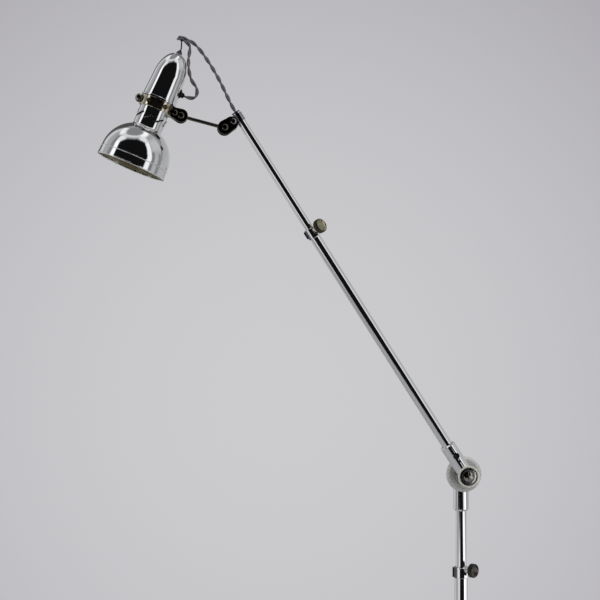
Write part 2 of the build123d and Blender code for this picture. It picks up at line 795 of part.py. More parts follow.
with BuildPart() as band_screws:
    for angle in band_screw_angles:
        screw_plane = Plane(origin=rim_centre + head_up * band_mid, z_dir=around_head(angle))
        with BuildSketch(screw_plane.offset(30.75)):
            Circle(4.4)
        extrude(amount=2.2, taper=25)
        with BuildSketch(screw_plane.offset(27.0)):
            Circle(1.6)
        extrude(amount=3.8)
        with BuildSketch(screw_plane.offset(32.95)):
            Rectangle(0.9, 10)
        extrude(amount=-0.9, mode=Mode.SUBTRACT)
finish(band_screws, "band_screws")

band_clamp_screw = slotted_screw(
    facing_front(ear_screw_at, arm_plane_y - ear_half_depth - slip), 6.6, 4.6, 3.0, 22.0, 1.6)
finish(band_clamp_screw, "band_clamp_screw")

band_clamp_nut = hex_nut(facing_back(ear_screw_at, arm_plane_y + ear_half_depth + slip), 11, 3 + slip, 5.0)
finish(band_clamp_nut, "band_clamp_nut")

# Shade: a domed bell on a flared skirt, with a fillet up to the louvred neck.
# Outlines are in (radius, height above the rim).
fillet_r = neck_radius + neck_fillet
fillet_s = dome_centre_s + ((dome_radius + neck_fillet) ** 2 - (fillet_r - dome_centre_r) ** 2) ** 0.5
dome_end = degrees(atan2(fillet_s - dome_centre_s, fillet_r - dome_centre_r))
inner_radius = dome_radius - shade_wall
inner_top_s = dome_centre_s + (inner_radius**2 - (neck_bore - dome_centre_r) ** 2) ** 0.5
inner_end = degrees(atan2(inner_top_s - dome_centre_s, neck_bore - dome_centre_r))


def louvre_plane(step):
    """Plane of one louvre inside the neck, facing outwards, with local y up the head."""
    out = around_head(-9 + 360 / louvre_count * step)
    return Plane(origin=rim_centre + head_up * louvre_s + out * 20, x_dir=head_up.cross(out), z_dir=out)


lip_rise = (louvre_width + lip_width) / 2
lip_at = (-lip_rise * sin(radians(louvre_slant)), lip_rise * cos(radians(louvre_slant)))
with BuildPart() as louvre_lips:
    for step in range(louvre_count):
        with BuildSketch(louvre_plane(step)):
            with Locations(lip_at):
                SlotOverall(louvre_length, lip_width, rotation=louvre_slant)
        extrude(amount=12)
    with BuildSketch(head_plane.offset(85)):
        Circle(neck_radius + 1.1)
    extrude(amount=26, mode=Mode.INTERSECT)
    with BuildSketch(head_plane.offset(80)):
        Circle(neck_radius - 0.6)
    extrude(amount=40, mode=Mode.SUBTRACT)

with BuildPart() as shade:
    with BuildSketch(head_profile):
        with BuildLine():
            Line((bell_radius - 0.2, 1.5), (dome_centre_r + dome_radius, dome_centre_s))
            CenterArc((dome_centre_r, dome_centre_s), dome_radius, 0, dome_end)
            CenterArc((fillet_r, fillet_s), neck_fillet, 180 + dome_end, -dome_end)
            Polyline(
                (neck_radius, fillet_s), (neck_radius, band_low - 0.1), (26.7, band_low - 0.1), (26.7, 131.0),
                (20.4, 131.0), (20.4, 129.0), (neck_bore, 129.0), (neck_bore, inner_top_s),
            )
            CenterArc((dome_centre_r, dome_centre_s), inner_radius, inner_end, -inner_end)
            Polyline(
                (dome_centre_r + inner_radius, dome_centre_s), (bell_radius - 1.4, 1.5), (bell_radius - 0.2, 1.5))
        make_face()
        with Locations((bell_radius - 1.5, 1.5)):
            Circle(1.5)
        with Locations((bell_radius - 1.5, 16.5)):
            Circle(0.9)
    revolve(axis=head_axis)
    add(louvre_lips.part)
    for step in range(louvre_count):
        with BuildSketch(louvre_plane(step)):
            SlotOverall(louvre_length, louvre_width, rotation=louvre_slant)
        extrude(amount=12, mode=Mode.SUBTRACT)
finish(shade, "shade")


def bullet_outline(inset):
    """Points of the cover's rounded end, from the shoulder to the flat crown, set in by a wall."""
    across = bullet_shoulder_radius - inset
    rise = bullet_height - bullet_shoulder_s - inset
    top = bullet_flat_s - inset - bullet_shoulder_s
    last = atan2(top / rise, (1 - (top / rise) ** 2) ** 0.5)
    return [(across * cos(last * i / 8), bullet_shoulder_s + rise * sin(last * i / 8)) for i in range(9)]


grommet_plane = Plane(origin=rim_centre + head_up * grommet_s, x_dir=head_up, z_dir=head_side)
with BuildPart() as bullet_cover:
    with BuildSketch(head_profile):
        with BuildLine():
            outer_points = bullet_outline(0)
            inner_points = bullet_outline(shade_wall)
            Polyline(
                (bullet_base_radius - shade_wall, band_high + 0.1), (bullet_base_radius + 1, band_high + 0.1),
                (bullet_base_radius + 1, band_high + 2.4), (bullet_base_radius - 0.15, band_high + 3.4),
                outer_points[0],
            )
            Spline(*outer_points)
            Polyline(outer_points[-1], (5.1, bullet_flat_s), (5.1, bullet_flat_s - shade_wall), inner_points[-1])
            Spline(*inner_points)
            Line(inner_points[0], (bullet_base_radius - shade_wall, band_high + 0.1))
        make_face()
    revolve(axis=head_axis)
    with BuildSketch(grommet_plane.offset(15)):
        Circle(7.0)
    extrude(amount=25, mode=Mode.SUBTRACT)
finish(bullet_cover, "bullet_cover")

bullet_taper = (bullet_base_radius - bullet_shoulder_radius) / (bullet_shoulder_s - band_high - 3.4)
with BuildPart() as flex_grommet:
    with BuildSketch(Plane(origin=grommet_plane.origin, x_dir=head_up, z_dir=head_up.cross(head_side))):
        with BuildLine():
            CenterArc((grommet_radius, 35.9), grommet_radius - grommet_neck, 180, 90)
            Polyline(
                (grommet_radius, 35.9 - grommet_radius + grommet_neck), (grommet_radius, 28.4), (0, 28.4), (0, 38),
                (grommet_neck, 38), (grommet_neck, 35.9),
            )
        make_face()
    revolve(axis=Axis(grommet_plane.origin, head_side))
    with BuildSketch(head_plane.offset(140)):
        Circle(bullet_shoulder_radius + bullet_taper * (bullet_shoulder_s - 140) + 0.05)
    with BuildSketch(head_plane.offset(bullet_shoulder_s)):
        Circle(bullet_shoulder_radius + 0.05)
    loft(mode=Mode.SUBTRACT)
    with BuildSketch(grommet_plane.offset(27.9)):
        Circle(6.9)
    extrude(amount=4.5)
    with BuildSketch(grommet_plane.offset(26.2)):
        Circle(8.5)
    extrude(amount=1.75)
    with BuildSketch(grommet_plane.offset(25)):
        Circle(flex_radius + 0.2)
    extrude(amount=20, mode=Mode.SUBTRACT)
finish(flex_grommet, "flex_grommet")

with BuildPart() as lampholder:
    with BuildSketch(head_plane.offset(108)):
        Circle(20)
    extrude(amount=67)
    with BuildSketch(head_plane.offset(131.1)):
        Circle(23)
    extrude(amount=3)
    with BuildSketch(head_plane.offset(107)):
        Circle(13.6)
    extrude(amount=33, mode=Mode.SUBTRACT)
    with BuildSketch(head_plane.offset(164)):
        Circle(5 + slip)
    extrude(amount=12, mode=Mode.SUBTRACT)
finish(lampholder, "lampholder")

shade_ring = tube(head_plane, 25.2, 20.1, 122.0, 128.9)
finish(shade_ring, "shade_ring")

crown_nipple = tube(head_plane, 5.0, 3.0, 164.1, 226.6)
finish(crown_nipple, "crown_nipple")

with BuildPart() as crown_boss:
    with BuildSketch(head_plane.offset(bullet_flat_s + slip)):
        Circle(6.6)
    with BuildSketch(head_plane.offset(233)):
        Circle(2.3)
    loft()
    with BuildSketch(head_plane.offset(220)):
        Circle(5 + slip)
    extrude(amount=6.7, mode=Mode.SUBTRACT)
    with BuildSketch(head_plane.offset(226)):
        Circle(1.25 + slip)
    extrude(amount=10, mode=Mode.SUBTRACT)
finish(crown_boss, "crown_boss")

with BuildPart() as bulb_glass:
    with BuildSketch(head_profile):
        with BuildLine():
            low = bulb_centre_s - bulb_radius
            glass_inner = bulb_radius - 0.8
            outer_neck = (16.0, bulb_centre_s + (bulb_radius**2 - 16.0**2) ** 0.5)
            inner_neck = (15.3, bulb_centre_s + (glass_inner**2 - 15.3**2) ** 0.5)
            ThreePointArc((0, low), (bulb_radius, bulb_centre_s), outer_neck)
            Polyline(outer_neck, (12.5, 90), (12.5, 106), (11.7, 106), (11.7, 90), inner_neck)
            ThreePointArc(inner_neck, (glass_inner, bulb_centre_s), (0, low + 0.8))
            Line((0, low + 0.8), (0, low))
        make_face()
    revolve(axis=head_axis)
finish(bulb_glass, "bulb_glass")

with BuildPart() as bulb_cap:
    with BuildSketch(head_plane.offset(101)):
        Circle(13.3)
    extrude(amount=23)
    with BuildSketch(head_plane.offset(124)):
        Circle(6)
    extrude(amount=3)
    with BuildSketch(head_plane.offset(100)):
        Circle(12.5 + slip)
    extrude(amount=6.1, mode=Mode.SUBTRACT)
finish(bulb_cap, "bulb_cap")

hook_foot = rim_centre + head_up * 226.8
hook_points = [
    hook_foot, hook_foot + head_up * 10, Vector(-534.2, arm_plane_y, 1824.5), Vector(-531.0, arm_plane_y, 1831.2),
]
with BuildPart() as wire_hook:
    with BuildLine() as hook_line:
        FilletPolyline(*hook_points, radius=[8.0, 5.0])
    with BuildSketch(Plane(origin=hook_line.line @ 0, z_dir=hook_line.line % 0)):
        Circle(1.25)
    sweep()
finish(wire_hook, "wire_hook")


def round_cord(points, radius):
    """Round cord along straight runs joined by tangent arcs, each arc as wide as its runs allow."""
    corners = [Vector(p) for p in points]
    runs = [b - a for a, b in zip(corners, corners[1:])]
    bends = []
    for first, second in zip(runs, runs[1:]):
        turn = radians(first.get_angle(second))
        bends.append(0.45 * min(first.length, second.length) / tan(turn / 2))
    with BuildPart() as built:
        with BuildLine() as route:
            FilletPolyline(*corners, radius=bends)
        with BuildSketch(Plane(origin=route.line @ 0, z_dir=route.line % 0)):
            Circle(radius)
        sweep()
    length = sum(edge.length for edge in route.edges())
    print("cord length", round(length, 1), "bend radii", [round(b, 1) for b in bends])
    print("  volume", round(built.part.volume, 1), "section x length", round(pi * radius**2 * length, 1))
    return built


# Flex, from the arm's mouth over the wire hook to the grommet.
mouth_in = elbow + arm_dir * 796
mouth_out = elbow + arm_dir * 815
split = Vector(-453.2, arm_plane_y, 1730.0)
split_dir = (split - mouth_out).normalized()
grommet_in = rim_centre + head_up * grommet_s + head_side * 35.5
grommet_out = rim_centre + head_up * grommet_s + head_side * 46.5
flex_lower = round_cord([mouth_in, mouth_out, split], flex_radius)
finish(flex_lower, "flex_lower")

over_hook = [
    split + split_dir * slip,
    split + split_dir * 28,
    (-482.7, arm_plane_y, 1784.2),
    (-499.6, arm_plane_y - 0.5, 1809.0),
    (-514.2, arm_plane_y - 4.0, 1825.3),
    (-526.6, arm_plane_y - 8.2, 1830.0),
    (-542.4, arm_plane_y - 8.5, 1829.4),
    (-542.4, arm_plane_y + 8.5, 1825.8),
    (-526.8, arm_plane_y + 8.2, 1823.4),
    (-518.4, arm_plane_y + 5.0, 1814.0),
    (-519.6, arm_plane_y + 2.0, 1802.0),
    (-522.3, arm_plane_y, 1788.0),
    (-519.8, arm_plane_y, 1768.5),
    (-515.3, arm_plane_y, 1750.0),
    (-505.6, arm_plane_y, 1735.4),
    (-510.6, arm_plane_y, 1721.6),
    grommet_out,
    grommet_in,
]
flex_upper = round_cord(over_hook, flex_radius)
finish(flex_upper, "flex_upper")
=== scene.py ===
"""Adjustable arm floor lamp: finishes, twisted flex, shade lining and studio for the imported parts."""

import json

import bpy
import numpy as np
from bpy.props import FloatProperty, FloatVectorProperty, IntProperty, PointerProperty
from bpy.types import Operator, Panel, PropertyGroup
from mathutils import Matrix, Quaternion, Vector


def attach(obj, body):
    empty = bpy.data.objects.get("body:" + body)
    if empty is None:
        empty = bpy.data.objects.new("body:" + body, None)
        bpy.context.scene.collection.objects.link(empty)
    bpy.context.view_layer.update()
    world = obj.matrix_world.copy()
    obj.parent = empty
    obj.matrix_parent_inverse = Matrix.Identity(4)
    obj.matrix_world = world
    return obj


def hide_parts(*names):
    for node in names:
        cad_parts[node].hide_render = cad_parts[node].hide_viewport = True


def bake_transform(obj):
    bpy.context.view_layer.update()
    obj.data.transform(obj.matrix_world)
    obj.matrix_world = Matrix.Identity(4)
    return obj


bl_info = {
    "name": "Adjustable Arm Floor Lamp",
    "version": (1, 0, 0),
    "blender": (4, 5, 0),
    "location": "View3D > Sidebar > Floor Lamp",
    "description": "Finishes, flex, shade lining and studio for a floor lamp with a telescopic pole and arm",
    "category": "Object",
}

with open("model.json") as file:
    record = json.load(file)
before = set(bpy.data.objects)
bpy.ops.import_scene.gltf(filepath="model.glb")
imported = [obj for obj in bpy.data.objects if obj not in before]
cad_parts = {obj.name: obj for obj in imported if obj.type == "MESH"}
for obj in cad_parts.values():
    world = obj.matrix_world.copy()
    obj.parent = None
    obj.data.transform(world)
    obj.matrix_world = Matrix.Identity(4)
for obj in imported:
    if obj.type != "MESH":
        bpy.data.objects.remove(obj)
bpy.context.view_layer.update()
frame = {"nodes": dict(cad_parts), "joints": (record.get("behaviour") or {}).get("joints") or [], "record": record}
joint_at = {joint["name"]: np.array(joint.get("pos_m") or (0, 0, 0), float) for joint in frame["joints"]}
joint_way = {joint["name"]: np.array(joint["axis"], float) for joint in frame["joints"]}
slot_of = {part["node"]: part["material_slot"] for part in frame["record"]["subparts"]}

# The head's own axes: up from the rim to the crown, and sideways to the link. Its rim lies beside and below its pivot.
HEAD_TILT = np.radians(23.0)
PIVOT_ASIDE = 0.0478
PIVOT_ABOVE_RIM = 0.1225
HEAD_UP = np.array((np.sin(HEAD_TILT), 0.0, np.cos(HEAD_TILT)))
HEAD_SIDE = np.array((np.cos(HEAD_TILT), 0.0, -np.sin(HEAD_TILT)))
HEAD_FRONT = np.array((0.0, -1.0, 0.0))
RIM_CENTRE = joint_at["head_tilt"] - PIVOT_ASIDE * HEAD_SIDE - PIVOT_ABOVE_RIM * HEAD_UP

# The arm's axis, up from the elbow.
ARM_ANGLE = np.radians(57.2)
ARM_UP = np.array((-np.cos(ARM_ANGLE), 0.0, np.sin(ARM_ANGLE)))
ELBOW = joint_at["elbow_tilt"]
ARM_Y = float(ELBOW[1])

# The ways that the two collars' clamping blocks point, a little behind the left.
BLOCK_SWING = np.radians(15.0)
POLE_BLOCK = np.array((-np.cos(BLOCK_SWING), np.sin(BLOCK_SWING), 0.0))
ARM_BLOCK = np.array((
    -np.cos(BLOCK_SWING) * np.sin(ARM_ANGLE), np.sin(BLOCK_SWING), -np.cos(BLOCK_SWING) * np.cos(ARM_ANGLE)))

# The flex's route in metres: it starts and ends where its two solids do, and between them its points lie a few
# millimetres from theirs, where the photograph shows the cloth. The upper flex goes straight on from the lower one,
# over the wire hook, round it and down the cover's side to the grommet.
FLEX_START = ELBOW + 0.796 * ARM_UP
FLEX_MOUTH = ELBOW + 0.815 * ARM_UP
FLEX_SPLIT = np.array((-0.4532, ARM_Y, 1.7300))
SPLIT_WAY = (FLEX_SPLIT - FLEX_MOUTH) / np.linalg.norm(FLEX_SPLIT - FLEX_MOUTH)
SPLIT_GAP = 0.00005
STRAIGHT_RUN = 0.028
GROMMET_UP = 0.1585
GROMMET_MOUTH = RIM_CENTRE + GROMMET_UP * HEAD_UP + 0.0465 * HEAD_SIDE
GROMMET_INSIDE = RIM_CENTRE + GROMMET_UP * HEAD_UP + 0.0355 * HEAD_SIDE
LOWER_ROUTE = np.array((FLEX_START, FLEX_MOUTH, FLEX_SPLIT))
UPPER_ROUTE = np.array((
    FLEX_SPLIT + SPLIT_GAP * SPLIT_WAY,
    FLEX_SPLIT + STRAIGHT_RUN * SPLIT_WAY,
    (-0.4827, ARM_Y, 1.7842),
    (-0.4990, ARM_Y - 0.0005, 1.8075),
    (-0.5125, ARM_Y - 0.0035, 1.8210),
    (-0.5266, ARM_Y - 0.0060, 1.8275),
    (-0.5358, ARM_Y - 0.0080, 1.8294),
    (-0.5405, ARM_Y - 0.0033, 1.8294),
    (-0.5405, ARM_Y + 0.0033, 1.8290),
    (-0.5358, ARM_Y + 0.0080, 1.8284),
    (-0.5268, ARM_Y + 0.0075, 1.8262),
    (-0.5178, ARM_Y + 0.0050, 1.8165),
    (-0.5200, ARM_Y + 0.0010, 1.8020),
    (-0.5220, ARM_Y - 0.0025, 1.7880),
    (-0.5216, ARM_Y - 0.0060, 1.7750),
    (-0.5200, ARM_Y - 0.0060, 1.7625),
    (-0.5160, ARM_Y - 0.0025, 1.7510),
    (-0.5060, ARM_Y, 1.7392),
    (-0.5058, ARM_Y, 1.7272),
    (-0.5106, ARM_Y, 1.7200),
    GROMMET_MOUTH,
    GROMMET_INSIDE,
))


def linear(code):
    """Linear red, green and blue of an sRGB hex colour."""
    srgb = np.array([int(code[i:i + 2], 16) / 255 for i in (1, 3, 5)])
    return tuple(np.where(srgb <= 0.04045, srgb / 12.92, ((srgb + 0.055) / 1.055) ** 2.4).tolist())


def colour(name, description, code):
    """Colour property with an sRGB hex default."""
    return FloatVectorProperty(
        name=name, description=description, subtype="COLOR", size=3, min=0.0, max=1.0, default=linear(code))


class FlexSettings(PropertyGroup):
    diameter: FloatProperty(
        name="Diameter", description="Outside of the two twisted cores", default=0.007, unit="LENGTH")
    lay: FloatProperty(name="Lay", description="Length of one full twist", default=0.039, unit="LENGTH")
    sides: IntProperty(name="Sides", description="Faces round one core", default=16)
    station: FloatProperty(
        name="Station", description="Spacing of the rings along a core", default=0.0008, unit="LENGTH")


class LiningSettings(PropertyGroup):
    gap: FloatProperty(
        name="Gap", description="Clearance to the shade's inner wall", default=0.00015, unit="LENGTH")
    thickness: FloatProperty(
        name="Thickness", description="Enamel coat's thickness", default=0.0003, unit="LENGTH")
    sides: IntProperty(name="Sides", description="Faces round the lining", default=160)


class FinishSettings(PropertyGroup):
    chrome: colour("Chrome", "Polished chrome plate on tubes, shade and cover", "#CFD0D2")
    nickel: colour("Dark nickel", "Darkened nickel plate on the forks, link and pivot screws", "#5F5A53")
    aged: colour("Aged nickel", "Tarnished nickel on the arm's thumbscrew and small screws", "#8F8B74")
    brass: colour("Brass", "Aged brass of the small screws", "#54482F")
    cloth: colour("Cloth", "Braided cloth of the flex", "#575459")
    enamel: colour("Enamel", "Yellowed enamel inside the shade", "#A39B78")


class StageSettings(PropertyGroup):
    backdrop: colour("Backdrop", "Plain grey paper behind the lamp", "#CCCBCE")
    corner: colour("Backdrop corner", "The same paper where the light falls off", "#A9A7AD")
    floor: colour("Floor", "Pale floor", "#CFCFD1")
    floor_radius: FloatProperty(
        name="Floor radius", description="Radius of the floor round the base", default=2.6, unit="LENGTH")
    lens: FloatProperty(name="Lens", description="Focal length on a 36 mm wide sensor", default=81.6, unit="CAMERA")
    camera_place: FloatVectorProperty(
        name="Camera place", description="Where the camera stands", default=(-0.6225, -2.5431, 1.3503),
        subtype="TRANSLATION", unit="LENGTH")
    camera_turn: FloatProperty(
        name="Camera turn", description="Turn of the level camera from looking along +Y",
        default=float(np.radians(-7.0)), subtype="ANGLE")


class LampSettings(PropertyGroup):
    flex: PointerProperty(type=FlexSettings)
    lining: PointerProperty(type=LiningSettings)
    finish: PointerProperty(type=FinishSettings)
    stage: PointerProperty(type=StageSettings)


def add(tree, kind, inputs=None, **settings):
    """Adds one node, sets its properties, and sets or links its inputs."""
    made = tree.nodes.new(kind)
    for name, value in settings.items():
        setattr(made, name, value)
    for name, value in (inputs or {}).items():
        if isinstance(value, bpy.types.NodeSocket):
            tree.links.new(value, made.inputs[name])
        else:
            made.inputs[name].default_value = value
    return made


def new_material(name):
    """Empty node material, with its tree and its output node."""
    material = bpy.data.materials.new(name)
    material.use_nodes = True
    tree = material.node_tree
    tree.nodes.clear()
    return material, tree, add(tree, "ShaderNodeOutputMaterial")


def speckled(tree, place, size, low, high):
    """Noise of a real grain size in metres, as a factor between two values."""
    noise = add(tree, "ShaderNodeTexNoise", {"Vector": place, "Scale": 1.0 / size, "Detail": 4.0, "Roughness": 0.6})
    spread = add(tree, "ShaderNodeMapRange", {
        "Value": noise.outputs["Fac"], "From Min": 0.35, "From Max": 0.65, "To Min": low, "To Max": high})
    return spread.outputs["Result"]


def zone_mask(tree, place, origin, axis, near, far, low, high):
    """1 where a point's distance from an axis and its height along it lie in two ranges of metres, 0 elsewhere."""
    way = tuple(np.asarray(axis, float) / np.linalg.norm(axis))
    offset = add(tree, "ShaderNodeVectorMath", {0: place, 1: tuple(origin)}, operation="SUBTRACT").outputs[0]
    height = add(tree, "ShaderNodeVectorMath", {0: offset, 1: way}, operation="DOT_PRODUCT").outputs["Value"]
    on_axis = add(tree, "ShaderNodeVectorMath", {0: way, "Scale": height}, operation="SCALE").outputs[0]
    reach = add(tree, "ShaderNodeVectorMath", {0: offset, 1: on_axis}, operation="DISTANCE").outputs["Value"]
    mask = 1.0
    for value, edge, test in ((reach, near, "GREATER_THAN"), (reach, far, "LESS_THAN"),
                              (height, low, "GREATER_THAN"), (height, high, "LESS_THAN")):
        inside = add(tree, "ShaderNodeMath", {0: value, 1: edge}, operation=test).outputs["Value"]
        mask = add(tree, "ShaderNodeMath", {0: mask, 1: inside}, operation="MULTIPLY").outputs["Value"]
    return mask


def finished(name, base, dull, rough, patch, grain, relief, zone=None, **constants):
    """Finish in patches of two colours, with uneven roughness and a fine relief.

    patch and grain are real sizes in metres and relief is the height of the fine grain. zone is a place with a
    finish of its own: the bounds of a zone mask, then its colour, roughness and share of metal."""
    material, tree, output = new_material(name)
    place = add(tree, "ShaderNodeTexCoord").outputs["Object"]
    patches = speckled(tree, place, patch, 0.0, 1.0)
    tint = add(tree, "ShaderNodeMix", {"Factor": patches, 6: (*base, 1.0), 7: (*dull, 1.0)},
               data_type="RGBA").outputs[2]
    haze = speckled(tree, place, grain, *rough)
    fine = add(tree, "ShaderNodeTexNoise", {"Vector": place, "Scale": 1.0 / grain, "Detail": 3.0})
    bump = add(tree, "ShaderNodeBump", {"Height": fine.outputs["Fac"], "Strength": 0.5, "Distance": relief})
    shader = add(tree, "ShaderNodeBsdfPrincipled", {"Normal": bump.outputs["Normal"]})
    for socket, value in constants.items():
        shader.inputs[socket.replace("_", " ")].default_value = value
    # A zone may hold painted shade or a painted highlight instead of a finish of the part.
    if zone:
        *bounds, zone_tint, zone_rough, zone_metal = zone
        inside = zone_mask(tree, place, *bounds)
        tint = add(tree, "ShaderNodeMix", {"Factor": inside, 6: tint, 7: (*zone_tint, 1.0)},
                   data_type="RGBA").outputs[2]
        haze = add(tree, "ShaderNodeMix", {"Factor": inside, "A": haze, "B": zone_rough}).outputs["Result"]
        metal = add(tree, "ShaderNodeMix", {"Factor": inside, "A": constants.get("Metallic", 0.0), "B": zone_metal})
        tree.links.new(metal.outputs["Result"], shader.inputs["Metallic"])
    tree.links.new(tint, shader.inputs["Base Color"])
    tree.links.new(haze, shader.inputs["Roughness"])
    tree.links.new(shader.outputs["BSDF"], output.inputs["Surface"])
    return material


def braided_cloth(name, base):
    """Cotton braid of the flex: threads cross on two diagonals, about 0.9 mm apart, drawn along the core's UV."""
    spacing = 0.0009
    waves_per_unit = 0.314
    material, tree, output = new_material(name)
    place = add(tree, "ShaderNodeUVMap", uv_map="UVMap").outputs["UV"]
    threads = []
    for turn in (0.6, -0.6):
        turned = add(tree, "ShaderNodeMapping", {"Vector": place, "Rotation": (0.0, 0.0, turn)})
        threads.append(add(tree, "ShaderNodeTexWave", {
            "Vector": turned.outputs["Vector"], "Scale": waves_per_unit / spacing, "Distortion": 0.6, "Detail": 1.0},
            wave_type="BANDS", bands_direction="X", wave_profile="SIN").outputs["Fac"])
    over = add(tree, "ShaderNodeMath", {0: threads[0], 1: threads[1]}, operation="MAXIMUM")
    worn = speckled(tree, place, 0.006, 0.75, 1.15)
    depth = add(tree, "ShaderNodeMapRange", {"Value": over.outputs["Value"], "To Min": 0.45, "To Max": 1.0})
    shade = add(tree, "ShaderNodeMath", {0: depth.outputs["Result"], 1: worn}, operation="MULTIPLY")
    shadow = tuple(0.25 * channel for channel in base)
    tint = add(tree, "ShaderNodeMix", {"Factor": shade.outputs["Value"], 6: (*shadow, 1.0), 7: (*base, 1.0)},
               data_type="RGBA")
    bump = add(tree, "ShaderNodeBump", {"Height": over.outputs["Value"], "Strength": 0.7, "Distance": 0.00025})
    shader = add(tree, "ShaderNodeBsdfPrincipled", {
        "Base Color": tint.outputs[2], "Normal": bump.outputs["Normal"], "Roughness": 0.72,
        "Sheen Weight": 0.35, "Sheen Roughness": 0.5})
    tree.links.new(shader.outputs["BSDF"], output.inputs["Surface"])
    return material


def mesh_object(name, points, faces, uvs=None):
    """Mesh object at the origin from arrays of points, quads and corner UVs."""
    mesh = bpy.data.meshes.new(name)
    mesh.from_pydata(points.tolist(), [], [face for group in faces for face in group.tolist()])
    if uvs is not None:
        layer = mesh.uv_layers.new(name="UVMap")
        layer.data.foreach_set("uv", uvs.astype(np.float32).ravel())
    mesh.shade_smooth()
    made = bpy.data.objects.new(name, mesh)
    bpy.context.scene.collection.objects.link(made)
    return made


def spline_points(name, route):
    """Points of the smooth NURBS line whose control points are the route."""
    curve = bpy.data.curves.new(name, "CURVE")
    curve.dimensions = "3D"
    spline = curve.splines.new("NURBS")
    spline.points.add(len(route) - 1)
    spline.points.foreach_set("co", np.column_stack((route, np.ones(len(route)))).ravel())
    spline.order_u = 3
    spline.use_endpoint_u = True
    spline.resolution_u = 24
    holder = bpy.data.objects.new(name, curve)
    bpy.context.scene.collection.objects.link(holder)
    line = bpy.data.meshes.new_from_object(holder)
    points = np.empty(len(line.vertices) * 3)
    line.vertices.foreach_get("co", points)
    bpy.data.objects.remove(holder)
    bpy.data.curves.remove(curve)
    bpy.data.meshes.remove(line)
    return points.reshape(-1, 3)


def even_stations(points, spacing):
    """The same line at even steps: each coordinate is interpolated over the running length."""
    steps = np.linalg.norm(np.diff(points, axis=0), axis=1)
    keep = np.concatenate(((True,), steps > 1e-9))
    points = points[keep]
    run = np.concatenate(((0.0,), np.cumsum(np.linalg.norm(np.diff(points, axis=0), axis=1))))
    stations = np.linspace(0.0, run[-1], max(4, int(run[-1] / spacing) + 1))
    return np.column_stack([np.interp(stations, run, axis) for axis in points.T]), stations


def twisted_cores(name, route, first_run, sizes):
    """Two round cores that wind round a line.

    At length s the core's centre is line(s) + d/4 (cos a N + sin a B) with a = 2 pi s / lay, the other core half
    a turn on, and its skin is a circle of radius d/4 about that centre in the plane of N and B."""
    line, stations = even_stations(spline_points(name + "_route", route), sizes.station)
    tangent = np.gradient(line, axis=0)
    tangent /= np.linalg.norm(tangent, axis=1)[:, None]
    # The frame's guide is +Y, and +Z where the line itself runs along Y.
    lean = np.clip(np.abs(tangent[:, 1:2]) * 1.6, 0.0, 1.0)
    guide = (1.0 - lean) * np.array((0.0, 1.0, 0.0)) + lean * np.array((0.0, 0.0, 1.0))
    across = np.cross(tangent, guide)
    across /= np.linalg.norm(across, axis=1)[:, None]
    beside = np.cross(tangent, across)
    core = sizes.diameter / 4
    around = np.linspace(0.0, 2 * np.pi, sizes.sides + 1)[:-1]
    count, sides = len(line), sizes.sides
    points, faces, uvs = [], [], []
    for half_turn in (0.0, np.pi):
        wind = 2 * np.pi * (stations + first_run) / sizes.lay + half_turn
        centre = line + core * (np.cos(wind)[:, None] * across + np.sin(wind)[:, None] * beside)
        ring = np.cos(around)[None, :, None] * across[:, None, :] + np.sin(around)[None, :, None] * beside[:, None, :]
        base = sum(len(block) for block in points)
        points.append((centre[:, None, :] + core * ring).reshape(-1, 3))
        row, col = np.meshgrid(np.arange(count - 1), np.arange(sides), indexing="ij")
        nxt = (col + 1) % sides
        quad = np.stack((row * sides + col, row * sides + nxt, (row + 1) * sides + nxt, (row + 1) * sides + col), -1)
        faces.append(base + quad.reshape(-1, 4))
        faces.append(base + np.arange(sides)[::-1][None, :])
        faces.append(base + (count - 1) * sides + np.arange(sides)[None, :])
        girth = 2 * np.pi * core / sides
        corner_u = np.stack((col, col + 1, col + 1, col), -1) * girth
        corner_v = (first_run + stations)[np.stack((row, row, row + 1, row + 1), -1)]
        uvs.append(np.stack((corner_u, corner_v), -1).reshape(-1, 2))
        uvs.append(np.zeros((2 * sides, 2)))
    return mesh_object(name, np.concatenate(points), faces, np.concatenate(uvs)), line, stations[-1]


def shade_profile(inset):
    """Inner outline of the shade, set in: a skirt that narrows upwards, then a dome arc that ends at the neck."""
    rim_radius, rim_height = 0.0635, 0.0032
    skirt_narrows, skirt_height = 0.0013, 0.0163
    dome_radius, dome_offset, dome_height, dome_turn = 0.0616, 0.0006, 0.0195, 65.5
    up = np.linspace(0.0, 1.0, 8)
    skirt = np.column_stack((rim_radius - skirt_narrows * up, rim_height + skirt_height * up))
    bend = np.radians(np.linspace(0.0, dome_turn, 48))[1:]
    dome = np.column_stack((dome_offset + dome_radius * np.cos(bend), dome_height + dome_radius * np.sin(bend)))
    outline = np.concatenate((skirt, dome))
    along = np.gradient(outline, axis=0)
    along /= np.linalg.norm(along, axis=1)[:, None]
    return outline + inset * np.column_stack((-along[:, 1], along[:, 0]))


class LAMP_OT_camera(Operator):
    """Level camera at the photograph's viewing angle"""

    bl_idname = "lamp.camera"
    bl_label = "Camera"

    def execute(self, context):
        stage = context.scene.lamp.stage
        data = bpy.data.cameras.new("Camera")
        data.sensor_width = 36.0
        data.lens = stage.lens
        data.clip_end = 60.0
        camera = bpy.data.objects.new("Camera", data)
        camera.location = stage.camera_place
        camera.rotation_euler = (np.radians(90.0), 0.0, stage.camera_turn)
        context.scene.collection.objects.link(camera)
        context.scene.camera = camera
        return {"FINISHED"}


